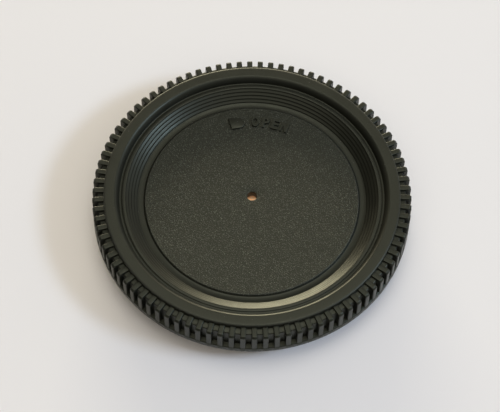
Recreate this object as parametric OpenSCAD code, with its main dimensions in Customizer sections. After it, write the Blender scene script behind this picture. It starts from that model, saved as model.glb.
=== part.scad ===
// Pinhole lens: a moulded three-lug camera body cap, drilled through its centre,
// with a thin pierced metal plate taped behind the hole.
// The origin is on the optical axis, at the end of the collar that the cap rests on.
// The front of the cap looks along +Z.

/* [Bayonet collar] */
// Outer diameter of the collar that enters the camera
collar_d = 43.8; // [36:0.1:52]
// Wall of the collar
collar_wall = 1.5; // [1:0.1:3]
// Height of the collar below the flange seat
collar_h = 4.3; // [3.6:0.1:7]
// Bevel on the edges of the collar's end
collar_bevel = 0.3; // [0.1:0.05:0.5]

/* [Lugs] */
// How far each lug stands out from the collar
lug_reach = 1.55; // [0.8:0.05:2]
// Thickness of a lug
lug_t = 1.45; // [0.8:0.05:1.8]
// Free gap between the flange seat and the lugs
lug_gap = 1.55; // [1:0.05:1.7]
// Angle that each lug spans, in degrees
lug_arcs = [60, 52, 56]; // [30:1:75]
// Direction of each lug's middle, in degrees
lug_middles = [35, 155, 275]; // [0:1:360]
// Bevel on the outer edges of a lug
lug_bevel = 0.25; // [0.1:0.05:0.35]
// Slope of the lead-in at one end of each lug, in degrees
lead_slope = 8; // [3:1:15]
// Length of that lead-in
lead_length = 4; // [2:0.5:6]

/* [Flange] */
// Space between the lugs' reach and the raised seat
seat_clear = 0.75; // [0.3:0.05:1.5]
// Width of the raised seat that bears on the camera's mount
seat_w = 2.7; // [1.5:0.1:4]
// How far the surface round the collar lies above the seat
seat_rise = 0.8; // [0.3:0.1:1.2]
// Width of the hollow moulded behind the ring
core_w = 2.2; // [1.2:0.1:4]
// Plastic left between that hollow and the top of the ring
core_roof = 2.35; // [1.8:0.05:3.5]
// Wall between that hollow and the root of the teeth
skirt_wall = 1.85; // [1.3:0.05:3]
// How far the skirt reaches past the seat, towards the camera
skirt_drop = 0.5; // [0.2:0.1:1.5]

/* [Knurled rim] */
// Number of teeth round the rim
tooth_count = 90; // [40:1:110]
// Width of a tooth
tooth_w = 1.08; // [0.7:0.02:1.3]
// How far a tooth stands out from the root between two teeth
tooth_reach = 1.05; // [0.6:0.05:2]
// Height of a tooth above the lip
tooth_h = 4.5; // [3:0.1:7]
// Bevel along the top of a tooth
tooth_bevel = 0.4; // [0.1:0.05:0.6]
// Easing of the two upright corners of a tooth
tooth_ease = 0.18; // [0.05:0.01:0.25]
// How far the root between the teeth lies below their tops
root_drop = 0.5; // [0.2:0.05:1]
// Thickness of the plain lip below the teeth
lip_h = 1.6; // [1:0.1:3]
// How far the lip stands proud of the teeth
lip_proud = 0.05; // [0.02:0.01:0.5]
// Easing of the lip's edges and of the root's top edge
lip_ease = 0.2; // [0.05:0.05:0.4]

/* [Front ring] */
// Width of the step between the ring and the root of the teeth
root_step = 1.25; // [0.8:0.05:3]
// Height of the ring above the teeth
ring_step = 0.85; // [0.3:0.05:2]
// Width of the flat ring
ring_w = 1.65; // [1.2:0.05:3]
// Rounding of the ring's outer edge
ring_round = 0.25; // [0.1:0.05:0.4]
// Width of the rounded shoulder from the ring down to the ledge
shoulder_w = 1.45; // [1:0.05:2]
// How far that shoulder leans out before it rounds over
shoulder_lean = 0.4; // [0.1:0.05:0.6]

/* [Well] */
// Depth of the ledge below the ring
ledge_depth = 1.5; // [1.2:0.05:1.7]
// Width of the ledge
ledge_w = 0.6; // [0.3:0.05:1]
// Width of the low rib inside the ledge
rib_w = 0.69; // [0.3:0.01:1]
// Height of that rib above the ledge
rib_h = 0.25; // [0.1:0.05:0.5]
// Number of fine risers between the band and the rib
terrace_count = 5; // [3:1:6]
// Width of one terrace
terrace_w = 0.54; // [0.35:0.01:0.7]
// Height of one riser
terrace_h = 0.28; // [0.15:0.01:0.35]
// How far each terrace climbs from one riser to the next
tread_rise = 0.205; // [0:0.005:0.25]
// Width of the flat band round the disc
band_w = 1.35; // [0.6:0.05:2]
// Height of the disc above the band
disc_rise = 0.4; // [0.2:0.05:0.6]
// Width of the slope at the disc's edge
disc_slope = 0.34; // [0.1:0.02:0.6]
// Rounding of the disc's edge
disc_round = 0.12; // [0.05:0.01:0.15]
// Thickness of the floor under the disc
floor_t = 1.75; // [1.2:0.05:2.5]

/* [Hole and pinhole] */
// Diameter of the hole drilled through the floor
hole_d = 2.05; // [1:0.05:4]
// How far off the axis, towards +Y, the hole was drilled by hand
hole_off = 0.65; // [0:0.05:1]
// Diameter of the pinhole itself
pinhole_d = 0.3; // [0.15:0.05:0.6]
// How far the pinhole lies from the middle of the hole, towards +Y
pinhole_off = 0.45; // [0:0.05:0.6]
// Thickness of the metal plate
plate_t = 0.1; // [0.05:0.01:0.3]
// Space between the tape's corners and the collar's inner wall
tape_clear = 2; // [0.5:0.1:5]
// How far the tape laps over the floor on each side of the plate
tape_lap = 5; // [2:0.5:8]
// Thickness of the tape
tape_t = 0.15; // [0.1:0.01:0.3]
// Diameter of the opening punched in the tape
tape_hole_d = 5; // [3:0.5:8]

/* [Hidden] */
$fn = 180;

// Radii, from the collar outwards to the teeth
collar_r = collar_d / 2;
cavity_r = collar_r - collar_wall;
lug_r = collar_r + lug_reach;
seat_inner_r = lug_r + seat_clear;
seat_outer_r = seat_inner_r + seat_w;
skirt_inner_r = seat_outer_r + core_w;
root_r = skirt_inner_r + skirt_wall;
tip_r = root_r + tooth_reach;
lip_r = tip_r + lip_proud;

// Radii of the front, from the teeth inwards to the disc
ring_outer_r = root_r - root_step;
ring_inner_r = ring_outer_r - ring_w;
ledge_outer_r = ring_inner_r - shoulder_w;
ledge_inner_r = ledge_outer_r - ledge_w;
rib_inner_r = ledge_inner_r - rib_w;
band_outer_r = rib_inner_r - (terrace_count - 1) * terrace_w;
band_inner_r = band_outer_r - band_w;
disc_r = band_inner_r - disc_slope;

// Heights above the end of the collar
seat_z = collar_h;
lug_top_z = seat_z - lug_gap;
lug_bottom_z = lug_top_z - lug_t;
skirt_z = seat_z - skirt_drop;
lip_top_z = skirt_z + lip_h;
tooth_top_z = lip_top_z + tooth_h;
root_top_z = tooth_top_z - root_drop;
ring_z = tooth_top_z + ring_step;
core_top_z = ring_z - core_roof;
ledge_z = ring_z - ledge_depth;
rib_z = ledge_z + rib_h;
band_z = rib_z - terrace_count * terrace_h - (terrace_count - 1) * tread_rise;
disc_z = band_z + disc_rise;
floor_z = disc_z - floor_t;

// The tape is the square that fits the cavity, and the plate lies under its middle
tape_side = (cavity_r - tape_clear) * sqrt(2);
plate_side = tape_side - 2 * tape_lap;

// How far one solid runs into the next, so that they join
overlap = 0.3;
// Straight pieces in a small rounded edge, and in the shoulder
round_steps = 4;
shoulder_steps = 8;

// Points of the curve that leaves a towards p and comes from p to b
function curve(a, p, b, steps) =
    [for (i = [0 : steps]) let (t = i / steps) (1 - t) * (1 - t) * a + 2 * t * (1 - t) * p + t * t * b];

// Points that round the corner p, between a line from a and a line to b
function rounded(a, p, b, reach) =
    curve(p + (a - p) * reach / norm(a - p), p, p + (b - p) * reach / norm(b - p), round_steps);

// The fine terraces, from the band up to the rib
function terraces() =
    [for (i = [0 : terrace_count - 1]) let (foot_z = band_z + i * (terrace_h + tread_rise)) each [
        [band_outer_r + i * terrace_w, foot_z],
        [band_outer_r + i * terrace_w, foot_z + terrace_h]
    ]];

// The front of the section: disc, band, terraces, rib, ledge, shoulder and ring
function front_outline() = concat(
    [[0, disc_z]],
    rounded([0, disc_z], [disc_r, disc_z], [band_inner_r, band_z], disc_round),
    [[band_inner_r, band_z]],
    terraces(),
    [[ledge_inner_r, rib_z], [ledge_inner_r, ledge_z]],
    curve([ledge_outer_r, ledge_z], [ledge_outer_r + shoulder_lean, ring_z], [ring_inner_r, ring_z], shoulder_steps),
    rounded([ring_inner_r, ring_z], [ring_outer_r, ring_z], [ring_outer_r, root_top_z], ring_round)
);

// The outside of the section: root of the teeth and plain lip
function rim_outline() = [
    [ring_outer_r, root_top_z],
    [root_r - lip_ease, root_top_z],
    [root_r, root_top_z - lip_ease],
    [root_r, lip_top_z],
    [lip_r - lip_ease, lip_top_z],
    [lip_r, lip_top_z - lip_ease],
    [lip_r, skirt_z + lip_ease],
    [lip_r - lip_ease, skirt_z]
];

// The back of the section: skirt, hollow, seat, collar and cavity
function back_outline() = [
    [skirt_inner_r, skirt_z],
    [skirt_inner_r, core_top_z],
    [seat_outer_r, core_top_z],
    [seat_outer_r, seat_z],
    [seat_inner_r, seat_z],
    [seat_inner_r, seat_z + seat_rise],
    [collar_r, seat_z + seat_rise],
    [collar_r, collar_bevel],
    [collar_r - collar_bevel, 0],
    [cavity_r + collar_bevel, 0],
    [cavity_r, collar_bevel],
    [cavity_r, floor_z],
    [0, floor_z]
];

// Everything on the cap that is turned about the axis
module turned_shell() {
    rotate_extrude()
        polygon(concat(front_outline(), rim_outline(), back_outline()));
}

// One tooth, on +X: its plan, with two eased corners, crossed with its side view
module tooth() {
    inner_r = ring_outer_r - overlap;
    half_w = tooth_w / 2;
    intersection() {
        translate([0, 0, lip_top_z - overlap])
            linear_extrude(tooth_h + overlap)
                polygon([
                    [inner_r, -half_w],
                    [tip_r - tooth_ease, -half_w],
                    [tip_r, tooth_ease - half_w],
                    [tip_r, half_w - tooth_ease],
                    [tip_r - tooth_ease, half_w],
                    [inner_r, half_w]
                ]);
        rotate([90, 0, 0])
            linear_extrude(tooth_w + 2 * overlap, center = true)
                polygon([
                    [inner_r, lip_top_z - overlap],
                    [tip_r, lip_top_z - overlap],
                    [tip_r, tooth_top_z - tooth_bevel],
                    [tip_r - tooth_bevel, tooth_top_z],
                    [inner_r, tooth_top_z]
                ]);
    }
}

// One lug of the bayonet, with a sloping lead-in on the side that enters first
module lug(middle, arc_angle) {
    lead_turn = arc_angle / 2;
    rotate([0, 0, middle])
        difference() {
            rotate([0, 0, -arc_angle / 2])
                rotate_extrude(angle = arc_angle)
                    polygon([
                        [collar_r - overlap, lug_bottom_z],
                        [lug_r - lug_bevel, lug_bottom_z],
                        [lug_r, lug_bottom_z + lug_bevel],
                        [lug_r, lug_top_z - lug_bevel],
                        [lug_r - lug_bevel, lug_top_z],
                        [collar_r - overlap, lug_top_z]
                    ]);
            rotate([0, 0, lead_turn])
                translate([collar_r - lug_reach, -lead_length, lug_top_z])
                    rotate([-lead_slope, 0, 0])
                        cube([3 * lug_reach, 2 * lead_length, lug_t]);
        }
}

// The moulded cap, with the hole drilled through its floor
module cap_body() {
    color([0.13, 0.13, 0.12])
        difference() {
            union() {
                turned_shell();
                for (i = [0 : tooth_count - 1])
                    rotate([0, 0, i * 360 / tooth_count])
                        tooth();
                for (i = [0 : len(lug_arcs) - 1])
                    lug(lug_middles[i], lug_arcs[i]);
            }
            translate([0, hole_off, floor_z - overlap])
                cylinder(d = hole_d, h = floor_t + 2 * overlap);
        }
}

// The thin metal plate behind the hole, pierced by the pinhole
module pinhole_plate() {
    color([0.85, 0.5, 0.3])
        difference() {
            translate([-plate_side / 2, -plate_side / 2, floor_z - plate_t])
                cube([plate_side, plate_side, plate_t]);
            translate([0, hole_off + pinhole_off, floor_z - plate_t - overlap])
                cylinder(d = pinhole_d, h = plate_t + 2 * overlap);
        }
}

// A square slab centred on the axis, hanging down from the back of the floor
module hanging_slab(side, thickness) {
    translate([-side / 2, -side / 2, floor_z - thickness])
        cube([side, side, thickness]);
}

// The tape that holds the plate: it follows the plate's edges down to the floor
module tape() {
    color([0.06, 0.06, 0.07])
        difference() {
            union() {
                hanging_slab(tape_side, tape_t);
                hanging_slab(plate_side + 2 * tape_t, plate_t + tape_t);
            }
            hanging_slab(plate_side, plate_t);
            translate([0, hole_off, floor_z - plate_t - tape_t - overlap])
                cylinder(d = tape_hole_d, h = plate_t + tape_t + 2 * overlap);
        }
}

cap_body();
pinhole_plate();
tape();
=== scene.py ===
# %% [markdown]
# A pinhole lens made from a camera body cap. The cap is one black moulding with a
# knurled rim, a smooth front ring and a terraced well. A hole is drilled through its
# floor, and a thin copper-coloured plate behind it carries the pinhole. The packed
# model gives the true solids, and this file gives them their finish and their light.

# %% Load the frame
import math

import bpy
import numpy as np
from mathutils import Matrix, Vector


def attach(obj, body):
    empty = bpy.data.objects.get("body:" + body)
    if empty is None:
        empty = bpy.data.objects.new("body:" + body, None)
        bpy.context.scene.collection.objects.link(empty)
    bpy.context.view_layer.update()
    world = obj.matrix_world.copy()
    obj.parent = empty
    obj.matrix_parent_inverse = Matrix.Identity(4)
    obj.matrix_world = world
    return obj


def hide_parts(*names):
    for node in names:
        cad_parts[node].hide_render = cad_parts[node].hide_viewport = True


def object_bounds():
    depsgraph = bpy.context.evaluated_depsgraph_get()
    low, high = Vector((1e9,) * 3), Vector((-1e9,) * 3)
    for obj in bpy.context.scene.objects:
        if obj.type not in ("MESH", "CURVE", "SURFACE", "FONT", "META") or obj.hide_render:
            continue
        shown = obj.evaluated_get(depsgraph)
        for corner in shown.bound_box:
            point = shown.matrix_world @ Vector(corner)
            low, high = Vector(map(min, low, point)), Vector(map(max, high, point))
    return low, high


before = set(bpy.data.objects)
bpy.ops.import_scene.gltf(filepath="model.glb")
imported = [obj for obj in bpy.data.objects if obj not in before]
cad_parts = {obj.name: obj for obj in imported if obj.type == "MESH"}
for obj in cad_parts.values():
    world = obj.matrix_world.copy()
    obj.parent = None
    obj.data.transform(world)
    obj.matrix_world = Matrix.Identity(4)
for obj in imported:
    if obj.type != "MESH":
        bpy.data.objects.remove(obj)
cad_box = [list(corner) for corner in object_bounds()]
MM = 0.001
print("nodes:", sorted(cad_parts), "box in mm:", [[round(v / MM, 2) for v in c] for c in cad_box])

# %% [markdown]
# The camera comes first. It looks down on the cap from the side of -Y, at about 61
# degrees, from a third of a metre away. Its axes are worked out from that elevation
# and a small roll, and become the columns of the camera's matrix.

# %% Camera
IMAGE_W = 500
VIEW_DISTANCE = 345 * MM
VIEW_ELEVATION = math.radians(60.87)
VIEW_ROLL = math.radians(-1.35)
FOCAL_PIXELS = 1735
AIM = Vector((-0.35 * MM, -3.41 * MM, cad_box[1][2]))


def camera_matrix(aim, distance, elevation, roll):
    """Columns are the picture's right, the picture's up, and the way back to the camera."""
    forward = Vector((0, math.cos(elevation), -math.sin(elevation)))
    level_up = Vector((0, math.sin(elevation), math.cos(elevation)))
    level_right = Vector((1, 0, 0))
    right = level_right * math.cos(roll) - level_up * math.sin(roll)
    up = level_right * math.sin(roll) + level_up * math.cos(roll)
    turn = Matrix((right, up, -forward)).transposed().to_4x4()
    return Matrix.Translation(aim - forward * distance) @ turn


lens = bpy.data.cameras.new("view")
lens.sensor_width = 36
lens.lens = FOCAL_PIXELS * lens.sensor_width / IMAGE_W
lens.clip_start = 0.01
camera = bpy.data.objects.new("view", lens)
camera.matrix_world = camera_matrix(AIM, VIEW_DISTANCE, VIEW_ELEVATION, VIEW_ROLL)
bpy.context.scene.collection.objects.link(camera)
bpy.context.scene.camera = camera
print("focal length in mm:", round(lens.lens, 1))

# %% [markdown]
# The sizes of the moulding are in millimetres. They run as a chain, from the collar
# out to the teeth and from the teeth back in to the disc, as the solids do, so that
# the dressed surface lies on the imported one. The drill ran a little off the axis, so
# rows nearer than HOLE_NEAR_R follow the hole, and rows past HOLE_FAR_R the axis.

# %% Sizes of the moulding
COLLAR_R = 21.9
CAVITY_R = COLLAR_R - 1.5
LUG_R = COLLAR_R + 1.55
SEAT_IN_R = LUG_R + 0.75
SEAT_OUT_R = SEAT_IN_R + 2.7
SKIRT_IN_R = SEAT_OUT_R + 2.2
ROOT_R = SKIRT_IN_R + 1.85
TIP_R = ROOT_R + 1.05
LIP_R = TIP_R + 0.05
RING_OUT_R = ROOT_R - 1.25
RING_IN_R = RING_OUT_R - 1.65
LEDGE_OUT_R = RING_IN_R - 1.45
SHOULDER_CORNER_R = LEDGE_OUT_R + 0.5
LEDGE_IN_R = LEDGE_OUT_R - 0.6
RIB_IN_R = LEDGE_IN_R - 0.69
RISERS = 5
RISER_H = 0.28
RISER_LEAN = 0.12
TERRACE_W = 0.54
TREAD_RISE = 0.205
BAND_OUT_R = RIB_IN_R - (RISERS - 1) * TERRACE_W
BAND_IN_R = BAND_OUT_R - 1.35
DISC_R = BAND_IN_R - 0.34

RING_Z = cad_box[1][2] / MM
SEAT_Z = 4.3
RELIEF_Z = SEAT_Z + 0.8
SKIRT_Z = SEAT_Z - 0.5
LIP_TOP_Z = SKIRT_Z + 1.6
TOOTH_TOP_Z = RING_Z - 0.85
ROOT_TOP_Z = TOOTH_TOP_Z - 0.5
CORE_TOP_Z = RING_Z - 2.35
LEDGE_Z = RING_Z - 1.5
RIB_Z = LEDGE_Z + 0.25
BAND_Z = RIB_Z - RISERS * RISER_H - (RISERS - 1) * TREAD_RISE
DISC_Z = BAND_Z + 0.4
FLOOR_Z = DISC_Z - 1.75
LUG_TOP_Z = SEAT_Z - 1.55
LUG_BOTTOM_Z = LUG_TOP_Z - 1.45
HOLE_R = 1.025
HOLE_OFF = 0.65
HOLE_NEAR_R = 3.0
HOLE_FAR_R = 9.0
DISC_MIDDLE_R = 15.0
TOOTH_SLOPE = 0.4
ROOT_SLOPE = 0.2
LIP_SLOPE = 0.2
LUG_ROW_IN = 0.45
print("disc radius", round(DISC_R, 2), "rim radius", round(LIP_R, 2), "height", round(RING_Z, 2))

# %% [markdown]
# A mould leaves no edge quite sharp, and it is the thin light along each rounded
# edge that makes plastic look like plastic. So the section of the cap is drawn as
# corners, and each corner is swapped for a short curve. The corner is written as
# its radius, its height, how far before and after it the curve starts and ends,
# and how many steps the curve has.

# %% Rounded outlines
def rounded(corners):
    """Rows of (r, z, rub). The curve at a corner is quadratic: it leaves one side, is
    pulled towards the corner, and joins the other side. rub is 0 on the flats and in
    the hollow corners, and nears 1 in the middle of a tight edge that stands out."""
    flat = np.array([c[:2] for c in corners], float)
    before = np.roll(flat, 1, axis=0)
    after = np.roll(flat, -1, axis=0)
    rows = []
    for (_, _, reach, steps), here, back, on in zip(corners, flat, before, after):
        reach_back, reach_on = np.broadcast_to(reach, 2)
        to_back = (back - here) / np.linalg.norm(back - here)
        to_on = (on - here) / np.linalg.norm(on - here)
        bend = to_back[0] * to_on[1] - to_back[1] * to_on[0]
        tight = 0.12 / max(reach_on, 0.12)
        t = np.linspace(0, 1, steps + 1)[:, None] if steps else np.array([[0.5]])
        start, end = here + to_back * reach_back, here + to_on * reach_on
        curve = (1 - t) ** 2 * start + 2 * t * (1 - t) * here + t**2 * end
        rub = 4 * t * (1 - t) * np.clip(bend * tight, 0, 1) * (steps > 0)
        rows.append(np.hstack([curve, rub]))
    return np.vstack(rows)


def count_rows(corners):
    """How many rows the rounded form of these corners has."""
    return sum(steps + 1 for *_, steps in corners)


print("rows that a corner of 2 steps makes:", count_rows([(1.0, 0.0, 0.1, 2)]))

# %% [markdown]
# Seen from the hole outwards, the front is a flat disc, a band that lies a little
# lower, five fine risers, a low rib, and a broad rounded shoulder up to the ring.
# The risers repeat, so one function writes the corners of them all.

# %% Outline of the front
def terrace_corners():
    """Foot and top of each riser. A riser leans outwards a little, and each tread climbs
    by TREAD_RISE to the next foot."""
    corners = []
    for i in range(RISERS):
        r, z = BAND_OUT_R + i * TERRACE_W, BAND_Z + i * (RISER_H + TREAD_RISE)
        corners += [(r - RISER_LEAN / 2, z, 0.03, 1), (r + RISER_LEAN / 2, z + RISER_H, 0.05, 2)]
    return corners


disc_rows = [
    (HOLE_R, DISC_Z, 0.1, 2),
    (HOLE_NEAR_R, DISC_Z, 0, 0),
    (HOLE_FAR_R, DISC_Z, 0, 0),
    (DISC_MIDDLE_R, DISC_Z, 0, 0),
    (DISC_R, DISC_Z, 0.12, 3),
]
well_rows = [
    (BAND_IN_R, BAND_Z, 0.04, 2),
    *terrace_corners(),
    (LEDGE_IN_R, RIB_Z, 0.05, 2),
    (LEDGE_IN_R, LEDGE_Z, 0.04, 1),
    (LEDGE_OUT_R, LEDGE_Z, 0.06, 2),
    (SHOULDER_CORNER_R, RING_Z, (1.35, 0.6), 9),
    (RING_OUT_R, RING_Z, (0.5, 0.3), 5),
]
print("corners of the front:", len(disc_rows) + len(well_rows))

# %% [markdown]
# The rim needs two outlines, one over a tooth and one down between two teeth. They
# have the same number of rows, so that a point can slide from one to the other.

# %% Outlines of the rim
tooth_rows = [
    (RING_OUT_R, TOOTH_TOP_Z, 0.06, 2),
    (TIP_R - TOOTH_SLOPE, TOOTH_TOP_Z, 0.1, 2),
    (TIP_R, TOOTH_TOP_Z - TOOTH_SLOPE, 0.1, 2),
    (TIP_R, LIP_TOP_Z - 0.08, 0.03, 1),
    (TIP_R, LIP_TOP_Z - 0.15, 0.02, 1),
    (LIP_R, LIP_TOP_Z - LIP_SLOPE, 0.03, 1),
]
gap_rows = [
    (RING_OUT_R, ROOT_TOP_Z, 0.06, 2),
    (ROOT_R - ROOT_SLOPE, ROOT_TOP_Z, 0.08, 2),
    (ROOT_R, ROOT_TOP_Z - ROOT_SLOPE, 0.08, 2),
    (ROOT_R, LIP_TOP_Z, 0.1, 1),
    (LIP_R - LIP_SLOPE, LIP_TOP_Z, 0.06, 1),
    (LIP_R, LIP_TOP_Z - LIP_SLOPE, 0.06, 1),
]
print("rows over a tooth and in a gap:", count_rows(tooth_rows), count_rows(gap_rows))

# %% [markdown]
# Behind the rim the outline runs under the skirt, up into the hollow behind the ring,
# over the raised seat and down the collar. The collar too has two outlines with equal
# rows: one goes round a bayonet lug, and one stays on the plain wall.

# %% Outlines of the back
skirt_rows = [
    (LIP_R, SKIRT_Z + LIP_SLOPE, 0.06, 1),
    (LIP_R - LIP_SLOPE, SKIRT_Z, 0.06, 1),
    (SKIRT_IN_R, SKIRT_Z, 0.15, 2),
    (SKIRT_IN_R, CORE_TOP_Z, 0.2, 1),
    (SEAT_OUT_R, CORE_TOP_Z, 0.2, 1),
    (SEAT_OUT_R, SEAT_Z, 0.1, 2),
    (SEAT_IN_R, SEAT_Z, 0.1, 2),
    (SEAT_IN_R, RELIEF_Z, 0.1, 1),
    (COLLAR_R, RELIEF_Z, 0.1, 1),
]
lug_rows = [
    (COLLAR_R, LUG_TOP_Z, 0.08, 1),
    (LUG_R, LUG_TOP_Z, 0.25, 2),
    (LUG_R, LUG_BOTTOM_Z, 0.25, 2),
    (COLLAR_R, LUG_BOTTOM_Z, 0.08, 1),
]
wall_rows = [
    (COLLAR_R, LUG_TOP_Z, 0.08, 1),
    (COLLAR_R, LUG_TOP_Z - LUG_ROW_IN, 0.1, 2),
    (COLLAR_R, LUG_BOTTOM_Z + LUG_ROW_IN, 0.1, 2),
    (COLLAR_R, LUG_BOTTOM_Z, 0.08, 1),
]
collar_rows = [
    (COLLAR_R, 0, 0.3, 2),
    (CAVITY_R, 0, 0.3, 2),
    (CAVITY_R, FLOOR_Z, 0.2, 2),
    (HOLE_FAR_R, FLOOR_Z, 0, 0),
    (HOLE_NEAR_R, FLOOR_Z, 0, 0),
    (HOLE_R, FLOOR_Z, 0.05, 1),
]
print("rows on a lug and beside it:", count_rows(lug_rows), count_rows(wall_rows))

# %% [markdown]
# A section is closed: its last row is the hole's edge on the back, and the hole's own
# wall joins it to the first row. Three sections are enough for the whole cap.

# %% Three sections
def section(rim, collar_wall):
    """One whole section of the cap, from the hole's edge outwards and back underneath."""
    return rounded(disc_rows + well_rows + rim + skirt_rows + collar_wall + collar_rows)


plain = section(gap_rows, wall_rows)
toothed = section(tooth_rows, wall_rows)
lugged = section(gap_rows, lug_rows)
print("rows in the section:", len(plain))

# %% [markdown]
# The whole moulding is one grid of points: the section above, carried round the
# axis. Between two columns of points the section changes from the gap between two
# teeth to a tooth, so the teeth need no cutting and no joining, and their corners
# are eased by the way the change is spread over a few close columns.

# %% Columns round the cap
TEETH = 90
TOOTH_W = 1.08
SIDE_LEAN = 0.008
SIDE_EASE = [(0.0, 0.0), (0.015, 0.83), (0.065, 0.94), (0.175, 1.0)]
half_pitch = math.pi * TIP_R / TEETH
half_tooth = TOOTH_W / 2 + SIDE_LEAN
side = np.array([(half_tooth - inset, mask) for inset, mask in SIDE_EASE])
offsets = np.concatenate([-side[:, 0], side[::-1, 0], [half_pitch]])
tooth_mask = np.concatenate([side[:, 1], side[::-1, 1], [0.0]])


def column_angles(radii):
    """Angle of each point, one row per row of the section. Near the rim the sides of a
    tooth stay parallel: the same offset in millimetres is a wider angle at its root."""
    own = np.clip(radii, RING_OUT_R, TIP_R)[:, None]
    reach = np.interp(np.abs(offsets), [0, half_tooth, half_pitch], [0, half_tooth, 0])
    parallel = np.sign(offsets) * reach
    within = offsets / TIP_R + parallel * (1 / own - 1 / TIP_R)
    pitch = 2 * math.pi / TEETH
    return (np.arange(TEETH)[None, :, None] * pitch + within[:, None, :]).reshape(len(radii), -1)


print("columns to a tooth:", len(offsets), "columns in all:", TEETH * len(offsets))

# %% [markdown]
# Three lugs on the collar hold the cap in a camera's bayonet. They differ in length,
# so that it enters one way only. A lug grows from the collar as a tooth does from the
# rim, and its upper side falls away at one end, to lead the mount in.

# %% Bayonet lugs
LUG_ARCS = (60, 52, 56)
LUG_MIDDLES = (35, 155, 275)
LUG_END_EASE = (0.13, 0.03, 0.01)
LEAD_SLOPE = math.radians(8)
LEAD_LENGTH = 4.0


def lug_masks(angles):
    """1 on a lug and 0 beside it, and how far the lead-in has fallen at that angle."""
    mask, fall = np.zeros_like(angles), np.zeros_like(angles)
    for arc, middle in zip(LUG_ARCS, LUG_MIDDLES):
        off = (np.degrees(angles) - middle + 180) % 360 - 180
        mask += np.interp(np.abs(off), [arc / 2 - e for e in LUG_END_EASE], [1, 0.9, 0])
        along = COLLAR_R * np.radians(off - arc / 2) + LEAD_LENGTH
        fall += np.clip(along, 0, LEAD_LENGTH) * math.tan(LEAD_SLOPE) * (np.abs(off) <= arc / 2)
    return mask, fall


print("lug arcs in degrees:", LUG_ARCS)

# %% [markdown]
# Now the grid of points can be worked out as whole arrays. Each point has a row in
# the section and a column round the axis, and its angle, radius and height follow
# from the masks at that column.

# %% Surface of the cap
def cap_surface():
    """Points (rows x columns x 3) of the moulding. A point is the plain section's, moved
    towards the tooth's by the tooth mask, and towards the lug's by the lug mask. On a
    lug its height is let down by the lead-in, most at the top and none at the foot."""
    tooth = np.tile(tooth_mask, TEETH)[None, :, None]
    angles = column_angles(plain[:, 0])
    lug, fall = lug_masks(angles[:1])
    points = plain[:, None, :2] + tooth * (toothed - plain)[:, None, :2]
    points = points + lug[:, :, None] * (lugged - plain)[:, None, :2]
    out = np.clip((points[..., 0] - COLLAR_R) / (LUG_R - COLLAR_R), 0, 1) * lug
    share = np.clip((points[..., 1] - LUG_BOTTOM_Z) / (LUG_TOP_Z - LUG_BOTTOM_Z), 0, 1)
    beside_lug = (points[..., 1] < LUG_TOP_Z + 0.01) & (points[..., 0] <= LUG_R + 0.01)
    radius = points[..., 0]
    height = points[..., 1] - np.where(beside_lug, out**0.2 * share * fall, 0)
    shift = HOLE_OFF * np.clip((HOLE_FAR_R - radius) / (HOLE_FAR_R - HOLE_NEAR_R), 0, 1)
    return np.stack([radius * np.cos(angles), radius * np.sin(angles) + shift, height], axis=-1)


surface = cap_surface()
print("cap points:", surface.shape[:2])

# %% [markdown]
# The points become a mesh. The grid closes on itself both ways, so the mesh has no
# open edge, and the order of each face's corners makes it face outwards.

# %% Mesh of the cap
def grid_faces(rows, columns):
    """Four-cornered faces of a grid that closes on itself both ways, facing outwards."""
    r, c = np.meshgrid(np.arange(rows), np.arange(columns), indexing="ij")
    r_on, c_on = (r + 1) % rows, (c + 1) % columns
    corners = [r * columns + c, r_on * columns + c, r_on * columns + c_on, r * columns + c_on]
    return np.stack(corners, axis=-1).reshape(-1, 4)


def mesh_object(name, points, faces):
    """A smooth mesh from plain arrays. Its object stays at the origin."""
    mesh = bpy.data.meshes.new(name)
    mesh.from_pydata((points.reshape(-1, 3) * MM).tolist(), [], faces.tolist())
    mesh.validate()
    mesh.shade_smooth()
    piece = bpy.data.objects.new(name, mesh)
    bpy.context.scene.collection.objects.link(piece)
    return piece


def point_values(piece, name, values):
    """Stores one number per point, for the materials to read."""
    store = piece.data.attributes.new(name, "FLOAT", "POINT")
    store.data.foreach_set("value", values.astype(np.float32).ravel())


cap = mesh_object("cap", surface, grid_faces(*surface.shape[:2]))
print("cap triangles:", 2 * len(cap.data.polygons))

# %% [markdown]
# Two numbers are kept on every point of the cap, because a material can't tell a
# disc from a wall by itself. One says where the mould was spark-eroded: the disc with
# its edge, and the wall of the hole. The other says where the surface bends outwards,
# because handling rubs an edge a little paler than the flats beside it. A modifier
# then leans the shading on the large faces, so that flats look flat beside a curve.

# %% Marks for the materials
SHARP_FROM = math.radians(50)
grained_row = np.zeros(len(plain))
grained_row[: count_rows(disc_rows)] = 1
grained_row[-1] = 1
edge_row = plain[:, 2]
columns = surface.shape[1]
point_values(cap, "grained", np.repeat(grained_row[:, None], columns, axis=1))
point_values(cap, "edge", np.repeat(edge_row[:, None], columns, axis=1))
cap.data.set_sharp_from_angle(angle=SHARP_FROM)
flat_first = cap.modifiers.new("flat_first", "WEIGHTED_NORMAL")
flat_first.keep_sharp = True
flat_first.weight = 50
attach(cap, "root")
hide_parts("cap_body")
print("grained rows:", int(grained_row.sum()), "edge rows:", int((edge_row > 0.5).sum()))

# %% [markdown]
# Beside the disc's edge stands a word that tells which way the cap turns free, and a
# short raised pointer. Both are low plateaus, smooth on top. The word is set letter by
# letter on an arc: each letter is made a mesh, then turned and carried to its own
# angle.

# %% Raised letters
RAISED = 0.4
SUNK = 0.05
LETTER_BEVEL = 0.012
LETTER_THICKER = 0.03
LETTER_H = 2.45
LETTER_W = 1.55
WORD_BASE_R = 16.92
LETTER_ANGLES = {"O": 89.0, "P": 82.2, "E": 75.9, "N": 69.4}


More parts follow.
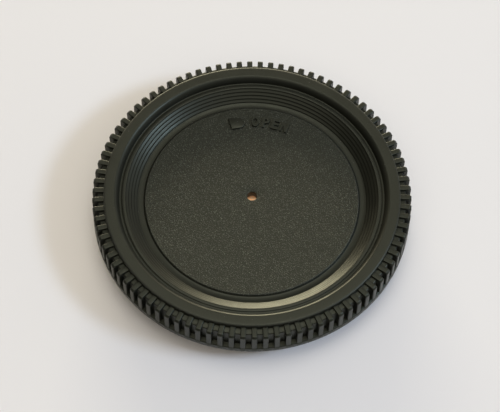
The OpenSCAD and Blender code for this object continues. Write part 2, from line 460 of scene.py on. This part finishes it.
def letter_points(letter):
    """Mesh of one thick letter, standing on y = 0 and centred on x = 0, in millimetres,
    from z = -SUNK to RAISED. It is scaled to LETTER_W by LETTER_H."""
    curve = bpy.data.curves.new("letter", "FONT")
    curve.body = letter
    curve.offset = LETTER_THICKER
    curve.extrude = (RAISED + SUNK) / 2 / LETTER_H - LETTER_BEVEL
    curve.bevel_depth = LETTER_BEVEL
    curve.bevel_resolution = 1
    shape = bpy.data.objects.new("letter", curve)
    bpy.context.scene.collection.objects.link(shape)
    evaluated = shape.evaluated_get(bpy.context.evaluated_depsgraph_get())
    made = bpy.data.meshes.new_from_object(evaluated)
    points = np.array([v.co for v in made.vertices], float)
    faces = [list(face.vertices) for face in made.polygons]
    bpy.data.objects.remove(shape)
    bpy.data.curves.remove(curve)
    bpy.data.meshes.remove(made)
    low, high = points.min(0), points.max(0)
    size = np.array([LETTER_W, LETTER_H, RAISED + SUNK])
    points = (points - (low + high) / 2) / (high - low) * size
    return points + [0, LETTER_H / 2, (RAISED - SUNK) / 2], faces


def word_on_arc(letters, base_radius, height):
    """Letters whose feet point at the axis: each is turned by its angle less 90 degrees."""
    points, faces, used = [], [], 0
    for letter, angle in letters.items():
        shape, own_faces = letter_points(letter)
        turn = math.radians(angle - 90)
        x, y = shape[:, 0], shape[:, 1] + base_radius
        turned_x = x * math.cos(turn) - y * math.sin(turn)
        turned_y = x * math.sin(turn) + y * math.cos(turn)
        points.append(np.stack([turned_x, turned_y, shape[:, 2] + height], axis=-1))
        faces += [[used + v for v in face] for face in own_faces]
        used += len(shape)
    return np.vstack(points), faces


print("letters and their angles:", LETTER_ANGLES)

# %% [markdown]
# The pointer is a five-sided plateau with a narrow bevel round its top. Its outline
# is drawn in by the bevel's width: at each corner the inward way is the sum of the
# two sides' normals, made long enough to keep the sides parallel.

# %% Raised pointer
POINTER = [(-5.32, 18.63), (-4.45, 16.11), (-2.27, 16.63), (-1.77, 17.51), (-2.84, 18.92)]
POINTER_BEVEL = 0.08


def plateau(outline, height, ease_width):
    """A low solid on a closed outline. Its rings of points are the outline at the foot
    and below the bevel, and the outline drawn in by up to ease_width at the top."""
    ring = np.array(outline, float)
    sides = (np.roll(ring, -1, axis=0) - ring, ring - np.roll(ring, 1, axis=0))
    on, back = [np.stack([-d[:, 1], d[:, 0]], axis=-1) / np.linalg.norm(d, axis=1)[:, None] for d in sides]
    inward = (on + back) / (1 + np.sum(on * back, axis=1))[:, None]
    part_way = ease_width * 0.3
    levels = [(0.0, -SUNK), (0.0, RAISED - ease_width), (part_way, RAISED - part_way), (ease_width, RAISED)]
    n = len(ring)
    points = np.vstack([np.column_stack([ring + inward * d, np.full(n, height + z)]) for d, z in levels])
    faces = [list(range(n))[::-1], list(range(3 * n, 4 * n))]
    for level in range(len(levels) - 1):
        for i in range(n):
            a, b = level * n + i, level * n + (i + 1) % n
            faces.append([a, b, b + n, a + n])
    return points, faces


print("corners of the pointer:", len(POINTER))

# %% [markdown]
# Both are set on the disc, with their feet a little sunk so that no gap shows. They
# get the same two marks as the cap, all zero, because they are smooth plastic.

# %% Word and pointer on the disc
def shaped_object(name, points, faces):
    """A mesh of mixed faces, flat where it should be and facing outwards."""
    mesh = bpy.data.meshes.new(name)
    mesh.from_pydata((points * MM).tolist(), [], faces)
    mesh.validate()
    mesh.shade_smooth()
    mesh.set_sharp_from_angle(angle=SHARP_FROM)
    piece = bpy.data.objects.new(name, mesh)
    bpy.context.scene.collection.objects.link(piece)
    return piece


word = shaped_object("open_word", *word_on_arc(LETTER_ANGLES, WORD_BASE_R, DISC_Z))
pointer = shaped_object("open_pointer", *plateau(POINTER, DISC_Z, POINTER_BEVEL))
for piece in (word, pointer):
    plain_marks = np.zeros(len(piece.data.vertices))
    point_values(piece, "grained", plain_marks)
    point_values(piece, "edge", plain_marks)
    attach(piece, "root")
print("word points:", len(word.data.vertices), "pointer points:", len(pointer.data.vertices))

# %% [markdown]
# Effects that more than one material needs are built once as node groups. Each group
# has named inputs and puts out only a mask or a height, which the materials feed to a
# bump, a roughness or a colour.

# %% Node group helpers
def new_group(name, inputs, outputs):
    """An empty shader group. Inputs are {name: default} and outputs are names."""
    group = bpy.data.node_groups.new(name, "ShaderNodeTree")
    for label, default in inputs.items():
        socket = group.interface.new_socket(label, in_out="INPUT", socket_type="NodeSocketFloat")
        socket.default_value = default
    for label in outputs:
        group.interface.new_socket(label, in_out="OUTPUT", socket_type="NodeSocketFloat")
    return group, group.nodes.new("NodeGroupInput"), group.nodes.new("NodeGroupOutput")


def add(tree, kind, **settings):
    """A node with its settings. Socket values are given as {"in": {socket: value}}."""
    node = tree.nodes.new("ShaderNode" + kind)
    values = settings.pop("in", {})
    for key, value in settings.items():
        setattr(node, key, value)
    for socket, value in values.items():
        node.inputs[socket].default_value = value
    return node


def math_node(tree, operation, a, b):
    """a and b are sockets or numbers."""
    node = add(tree, "Math", operation=operation)
    for socket, value in zip(node.inputs, (a, b)):
        if isinstance(value, (int, float)):
            socket.default_value = value
        else:
            tree.links.new(value, socket)
    return node.outputs[0]


def ramp(tree, value, low, high, to_low=0.0, to_high=1.0):
    """Carries a value from the span low to high onto to_low to to_high, clamped."""
    node = add(tree, "MapRange", **{"in": {1: low, 2: high, 3: to_low, 4: to_high}})
    tree.links.new(value, node.inputs[0])
    return node.outputs[0]


def scaled_position(tree, scale):
    """Object coordinates times a number or a socket."""
    where = add(tree, "TexCoord")
    times = add(tree, "VectorMath", operation="SCALE")
    tree.links.new(where.outputs["Object"], times.inputs[0])
    if isinstance(scale, (int, float)):
        times.inputs["Scale"].default_value = scale
    else:
        tree.links.new(scale, times.inputs["Scale"])
    return times.outputs[0]


def noise(tree, vector, detail=2.0, roughness=0.5):
    """Soft noise from 0 to 1. detail adds finer layers, and roughness their strength."""
    node = add(tree, "TexNoise", **{"in": {"Scale": 1.0, "Detail": detail, "Roughness": roughness}})
    tree.links.new(vector, node.inputs["Vector"])
    return node.outputs["Fac"]


print("helpers:", [helper.__name__ for helper in (new_group, add, math_node, ramp, noise)])

# %% [markdown]
# A spark-eroded mould leaves a skin of tiny craters that overlap. Rounded cells of a
# Voronoi pattern stand for the craters, and a finer noise breaks them up. The group
# puts out the height, and a mask of the highest spots, where the cap's colour is
# painted pale as painted glints: a painted highlight, not light that they catch.

# %% Spark-eroded grain
def spark_grain():
    """Height is 0.45 of the rounded cells plus the fine noise, times the contrast."""
    inputs = {"Grains per m": 4600.0, "Contrast": 1.0}
    group, given, out = new_group("spark_grain", inputs, ["Height", "Painted glints"])
    place = scaled_position(group, given.outputs["Grains per m"])
    cell_values = {"Scale": 1.0, "Smoothness": 0.6}
    cells = add(group, "TexVoronoi", feature="SMOOTH_F1", **{"in": cell_values})
    group.links.new(place, cells.inputs["Vector"])
    craters = ramp(group, cells.outputs["Distance"], 0.1, 0.75, 1.0, 0.0)
    fine = noise(group, place, detail=3.0, roughness=0.62)
    height = math_node(group, "ADD", math_node(group, "MULTIPLY", craters, 0.45), fine)
    height = math_node(group, "MULTIPLY", height, given.outputs["Contrast"])
    group.links.new(height, out.inputs["Height"])
    # The highest spots give the mask for the painted glints, a painted highlight.
    group.links.new(ramp(group, height, 0.80, 0.96), out.inputs["Painted glints"])
    return group


# %% [markdown]
# Parts that were turned, or polished while they turned, show streaks that run round
# the axis. The streaks are noise that changes fast with the radius and slowly round
# the circle. The circle is entered as a point on a small ring, so there is no seam.

# %% Turned streaks
def turned_streaks():
    """Noise at (cosine, sine) of the angle times the breaks, and the radius times the lines."""
    inputs = {"Lines per m": 5000.0, "Breaks": 4.0}
    group, given, out = new_group("turned_streaks", inputs, ["Streaks"])
    where = add(group, "TexCoord")
    flat = add(group, "VectorMath", operation="MULTIPLY")
    flat.inputs[1].default_value = (1, 1, 0)
    group.links.new(where.outputs["Object"], flat.inputs[0])
    radius = add(group, "VectorMath", operation="LENGTH")
    group.links.new(flat.outputs[0], radius.inputs[0])
    unit = add(group, "VectorMath", operation="NORMALIZE")
    group.links.new(flat.outputs[0], unit.inputs[0])
    around = add(group, "VectorMath", operation="SCALE")
    group.links.new(unit.outputs[0], around.inputs[0])
    group.links.new(given.outputs["Breaks"], around.inputs["Scale"])
    lifted = add(group, "CombineXYZ")
    lines = math_node(group, "MULTIPLY", radius.outputs["Value"], given.outputs["Lines per m"])
    group.links.new(lines, lifted.inputs["Z"])
    place = add(group, "VectorMath", operation="ADD")
    group.links.new(around.outputs[0], place.inputs[0])
    group.links.new(lifted.outputs[0], place.inputs[1])
    group.links.new(noise(group, place.outputs[0], detail=2.0), out.inputs["Streaks"])
    return group


# %% [markdown]
# Handling leaves two more traces everywhere: broad smudges, where the gloss changes
# a little, and a thin scatter of pale dust. Both are masks in one group.

# %% Handling traces
def handling():
    """Smudges are a broad noise. Dust is the middles of small cells, in one cell of ten."""
    inputs = {"Smudges per m": 260.0, "Dust per m": 1500.0}
    group, given, out = new_group("handling", inputs, ["Smudges", "Dust"])
    place = scaled_position(group, given.outputs["Smudges per m"])
    broad = noise(group, place, detail=4.0, roughness=0.6)
    group.links.new(ramp(group, broad, 0.32, 0.68), out.inputs["Smudges"])
    cells = add(group, "TexVoronoi", feature="F1", **{"in": {"Scale": 1.0}})
    group.links.new(scaled_position(group, given.outputs["Dust per m"]), cells.inputs["Vector"])
    dots = ramp(group, cells.outputs["Distance"], 0.05, 0.13, 1.0, 0.0)
    rare = add(group, "SeparateColor")
    group.links.new(cells.outputs["Color"], rare.inputs[0])
    few = ramp(group, rare.outputs[0], 0.9, 0.93)
    group.links.new(math_node(group, "MULTIPLY", dots, few), out.inputs["Dust"])
    return group


GRAIN, STREAKS, HANDLING = spark_grain(), turned_streaks(), handling()
print("node groups:", [group.name for group in (GRAIN, STREAKS, HANDLING)])

# %% [markdown]
# Every material is a Principled shader with masks in front of it. Three helpers place
# a group, blend two colours by a mask, and turn a height into a bump. A bump's depth
# is given in metres, as the real relief is.

# %% Material helpers
def use(tree, group, **values):
    """Places a group in a material, with its own values."""
    node = tree.nodes.new("ShaderNodeGroup")
    node.node_tree = group
    for socket, value in values.items():
        node.inputs[socket.replace("_", " ")].default_value = value
    return node


def new_material(name):
    material = bpy.data.materials.new(name)
    material.use_nodes = True
    tree = material.node_tree
    return material, tree, tree.nodes["Principled BSDF"]


def blend_colour(tree, mask, low, high):
    """Colour low where the mask is 0, and high where it is 1. Each is a colour or a socket."""
    node = add(tree, "Mix", data_type="RGBA")
    tree.links.new(mask, node.inputs["Factor"])
    for socket, value in ((node.inputs[6], low), (node.inputs[7], high)):
        if isinstance(value, tuple):
            socket.default_value = (*value, 1)
        else:
            tree.links.new(value, socket)
    return node.outputs[2]


def bump(tree, height, strength, distance, normal=None):
    """distance is how deep a height of 1 is, in metres."""
    node = add(tree, "Bump", **{"in": {"Strength": strength, "Distance": distance}})
    tree.links.new(height, node.inputs["Height"])
    if normal is not None:
        tree.links.new(normal, node.inputs["Normal"])
    return node.outputs["Normal"]


def dress(piece, material):
    piece.data.materials.clear()
    piece.data.materials.append(material)


print("groups ready to use:", [group.name for group in bpy.data.node_groups])

# %% [markdown]
# The cap is black plastic with a trace of olive. One material covers the moulding and
# its raised word and pointer: the marks on their points choose between the grained
# disc and the satin parts round it, and make the edges a little paler. On the grained
# parts the highest spots of the grain are painted pale, as painted glints. The tint on
# the reflection is what turns the black olive under a white light.

# %% Material of the cap
BLACK = (0.007, 0.0073, 0.0052)
BLACK_PALE = (0.040, 0.041, 0.034)
# The next colour is painted on the grain's highest spots: painted glints that stand in for highlights.
PAINTED_GLINT = (0.085, 0.087, 0.068)
DUST = (0.12, 0.12, 0.11)
SMUDGE_PALER = 1.18
EDGE_SHARE = 0.8
OLIVE_TINT = (0.93, 1.0, 0.77, 1)
PLASTIC_IOR = 1.44
STREAK_DEPTH = 6e-6
GRAIN_DEPTH = 9e-5


def cap_material():
    material, tree, skin = new_material("cap_plastic")
    traces = use(tree, HANDLING)
    streaks = use(tree, STREAKS)
    grain = use(tree, GRAIN)
    grained = add(tree, "Attribute", attribute_name="grained").outputs["Fac"]
    edge = add(tree, "Attribute", attribute_name="edge").outputs["Fac"]
    smudged = tuple(c * SMUDGE_PALER for c in BLACK)
    base = blend_colour(tree, traces.outputs["Smudges"], BLACK, smudged)
    base = blend_colour(tree, math_node(tree, "MULTIPLY", edge, EDGE_SHARE), base, BLACK_PALE)
    # On the grained parts the grain's highest spots get painted glints: a painted highlight in the colour.
    painted_glints = math_node(tree, "MULTIPLY", grain.outputs["Painted glints"], grained)
    base = blend_colour(tree, painted_glints, base, PAINTED_GLINT)
    base = blend_colour(tree, traces.outputs["Dust"], base, DUST)
    tree.links.new(base, skin.inputs["Base Color"])
    rough = ramp(tree, traces.outputs["Smudges"], 0, 1, 0.37, 0.43)
    turned = ramp(tree, streaks.outputs["Streaks"], 0.3, 0.7, -0.04, 0.04)
    rough = math_node(tree, "ADD", rough, turned)
    rough = math_node(tree, "ADD", rough, math_node(tree, "MULTIPLY", grained, 0.02))
    tree.links.new(rough, skin.inputs["Roughness"])
    skin.inputs["IOR"].default_value = PLASTIC_IOR
    skin.inputs["Specular Tint"].default_value = OLIVE_TINT
    fine = bump(tree, streaks.outputs["Streaks"], 0.25, STREAK_DEPTH)
    deep = math_node(tree, "MULTIPLY", grain.outputs["Height"], grained)
    tree.links.new(bump(tree, deep, 1.0, GRAIN_DEPTH, fine), skin.inputs["Normal"])
    return material


cap_plastic = cap_material()
for piece in (cap, word, pointer):
    dress(piece, cap_plastic)
print("dressed in", cap_plastic.name + ":", [piece.name for piece in (cap, word, pointer)])

# %% [markdown]
# The plate is a scrap of thin rolled metal, copper-coloured. Rolling leaves straight
# fine lines, and age leaves darker stains. The lines are noise that is stretched along
# Y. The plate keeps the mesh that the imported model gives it.

# %% Material of the plate
COPPER = (1.0, 0.61, 0.33)
COPPER_DARK = (0.92, 0.44, 0.19)
ROLLING_PER_M = (9000, 250, 250)
ROLLING_DEPTH = 4e-6
STAINS_PER_M = 1100


def plate_material():
    material, tree, skin = new_material("plate_metal")
    skin.inputs["Metallic"].default_value = 1.0
    stretch = add(tree, "VectorMath", operation="MULTIPLY")
    stretch.inputs[1].default_value = ROLLING_PER_M
    where = add(tree, "TexCoord")
    tree.links.new(where.outputs["Object"], stretch.inputs[0])
    rolling = noise(tree, stretch.outputs[0], detail=3.0)
    stains = noise(tree, scaled_position(tree, STAINS_PER_M), detail=4.0, roughness=0.6)
    tint = ramp(tree, stains, 0.45, 0.75)
    tree.links.new(blend_colour(tree, tint, COPPER, COPPER_DARK), skin.inputs["Base Color"])
    tree.links.new(ramp(tree, stains, 0.3, 0.7, 0.44, 0.58), skin.inputs["Roughness"])
    tree.links.new(bump(tree, rolling, 0.5, ROLLING_DEPTH), skin.inputs["Normal"])
    return material


dress(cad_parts["pinhole_plate"], plate_material())
print("plate dressed in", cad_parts["pinhole_plate"].data.materials[0].name)

# %% [markdown]
# The tape behind the plate is black film. Its surface waves a little, like the skin
# of an orange, and it shows smudges and dust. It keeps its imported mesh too.

# %% Material of the tape
TAPE_BLACK = (0.012, 0.012, 0.013)
TAPE_WORN = (0.024, 0.024, 0.025)
PEEL_PER_M = 1800
PEEL_DEPTH = 2e-5


def tape_material():
    material, tree, skin = new_material("tape_film")
    traces = use(tree, HANDLING)
    peel = noise(tree, scaled_position(tree, PEEL_PER_M), detail=2.0)
    base = blend_colour(tree, traces.outputs["Smudges"], TAPE_BLACK, TAPE_WORN)
    tree.links.new(blend_colour(tree, traces.outputs["Dust"], base, DUST), skin.inputs["Base Color"])
    tree.links.new(ramp(tree, traces.outputs["Smudges"], 0, 1, 0.26, 0.40), skin.inputs["Roughness"])
    tree.links.new(bump(tree, peel, 0.35, PEEL_DEPTH), skin.inputs["Normal"])
    return material


dress(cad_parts["tape"], tape_material())
print("all materials:", sorted(m.name for m in bpy.data.materials))

# %% [markdown]
# The cap lies on a white table. The table is a plain pale plane, large enough that
# its end shows only from a low angle. It belongs to the stage, and not to the part.

# %% Floor
FLOOR_HALF = 1.6
TABLE_ALBEDO = 0.80
TABLE_WHITE = (TABLE_ALBEDO, 0.79, 0.77, 1)
TABLE_ROUGHNESS = 0.7
table_mesh = bpy.data.meshes.new("table")
corner_signs = [(-1, -1), (1, -1), (1, 1), (-1, 1)]
corners = [(x * FLOOR_HALF, y * FLOOR_HALF, 0) for x, y in corner_signs]
table_mesh.from_pydata(corners, [], [(0, 1, 2, 3)])
table = bpy.data.objects.new("table", table_mesh)
bpy.context.scene.collection.objects.link(table)
table_material, table_tree, table_skin = new_material("table_white")
table_skin.inputs["Base Color"].default_value = TABLE_WHITE
table_skin.inputs["Roughness"].default_value = TABLE_ROUGHNESS
dress(table, table_material)
print("table side in metres:", 2 * FLOOR_HALF)

# %% [markdown]
# Four lights stand round the cap. A cool window on the right throws a soft shadow to
# the left, and a warm one low at the back draws the pale band on the near terraces.
# Two broad lights fill the rest: one leans to the front, and one hangs almost straight
# above. Each is set by the brightness that it alone would give the table, so the four
# and the room can be added up to a white that doesn't clip.

# %% Lights
LIGHT_DISTANCE = 1.5


def window_light(name, azimuth, elevation, width, height, share):
    """A rectangle of light that faces the cap. Azimuth 0 is +X and 90 is +Y. share is the
    brightness that it gives the table, as a colour: a white table sends back its albedo
    times the light that falls on it, over pi."""
    a, e = math.radians(azimuth), math.radians(elevation)
    towards = Vector((math.cos(a) * math.cos(e), math.sin(a) * math.cos(e), math.sin(e)))
    lamp = bpy.data.lights.new(name, "AREA")
    lamp.shape = "RECTANGLE"
    lamp.size, lamp.size_y = width, height
    strength = max(share)
    lamp.color = tuple(c / strength for c in share)
    lamp.energy = strength * math.pi**2 * LIGHT_DISTANCE**2 / (TABLE_ALBEDO * math.sin(e))
    holder = bpy.data.objects.new(name, lamp)
    holder.location = towards * LIGHT_DISTANCE
    holder.rotation_mode = "QUATERNION"
    holder.rotation_quaternion = towards.to_track_quat("Z", "Y")
    bpy.context.scene.collection.objects.link(holder)
    return holder


window_light("right_window", -9, 39, 0.40, 0.24, (0.134, 0.170, 0.234))
window_light("back_window", 98, 8, 0.86, 0.28, (0.125, 0.111, 0.083))
window_light("front_ceiling", 255, 62, 1.8, 1.2, (0.19, 0.176, 0.162))
window_light("ceiling", 80, 81, 0.75, 0.75, (0.195, 0.186, 0.177))
print("lights:", [light.name for light in bpy.data.lights])

# %% [markdown]
# The room itself sends back a little warm light from all round, more from the right
# than from the left. The strength is a slope over the direction, with a lower limit.

# %% Room
ROOM_SLOPE = (0.32, 0.15, 0.0)
ROOM_MIDDLE = 0.24
ROOM_LEAST = 0.14
ROOM_WARM = (1.0, 0.93, 0.83, 1)
world = bpy.data.worlds.new("room")
bpy.context.scene.world = world
world.use_nodes = True
sky = world.node_tree
direction = add(sky, "TexCoord").outputs["Generated"]
slope = add(sky, "VectorMath", operation="DOT_PRODUCT")
slope.inputs[1].default_value = ROOM_SLOPE
sky.links.new(direction, slope.inputs[0])
level = math_node(sky, "ADD", slope.outputs["Value"], ROOM_MIDDLE)
level = math_node(sky, "MAXIMUM", level, ROOM_LEAST)
room = sky.nodes["Background"]
room.inputs["Color"].default_value = ROOM_WARM
sky.links.new(level, room.inputs["Strength"])

scene = bpy.context.scene
scene.view_settings.view_transform = "Standard"
print("view transform:", scene.view_settings.view_transform)
